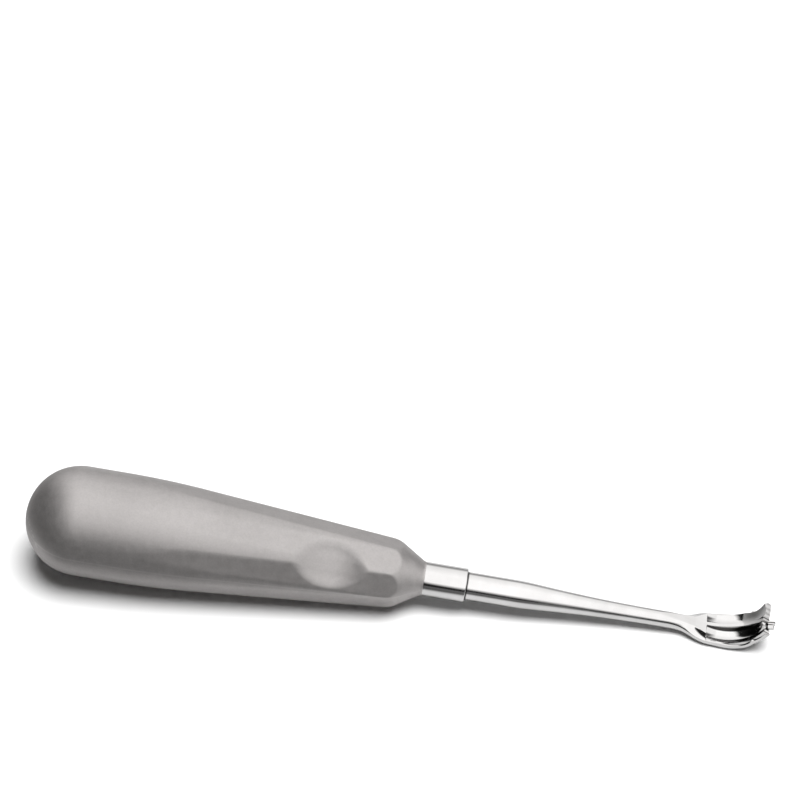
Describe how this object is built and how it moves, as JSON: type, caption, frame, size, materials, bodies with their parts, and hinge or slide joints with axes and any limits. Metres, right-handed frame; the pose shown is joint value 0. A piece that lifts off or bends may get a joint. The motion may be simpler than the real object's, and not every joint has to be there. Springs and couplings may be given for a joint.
{
  "type": "dental elevator",
  "caption": "Dental elevator: pear-shaped hollow handle with grip flats and a thumb dish, polished collar and shank, and a double-channel scoop with a turned-up serrated end.",
  "frame": {"origin": "centre of the collar's front face on the tool axis, where the shank starts", "axes": "+X along the tool axis to the tip, +Z the side that the scoop opens to, +Y to the left when looking towards the tip"},
  "size_m": [0.1605, 0.0234, 0.0234],
  "materials": {
    "blasted_steel": "fine bead-blasted matt stainless steel",
    "polished_steel": "mirror-polished stainless steel",
    "plain_steel": "as-machined stainless steel"
  },
  "bodies": {
    "root": {"handle_shell_upper": "blasted_steel", "handle_shell_lower": "blasted_steel", "neck_collar": "polished_steel", "tang_tube": "plain_steel", "support_disc": "plain_steel", "lock_pin": "plain_steel", "vent_plug": "blasted_steel", "blade": "polished_steel"}
  },
  "joints": []
}
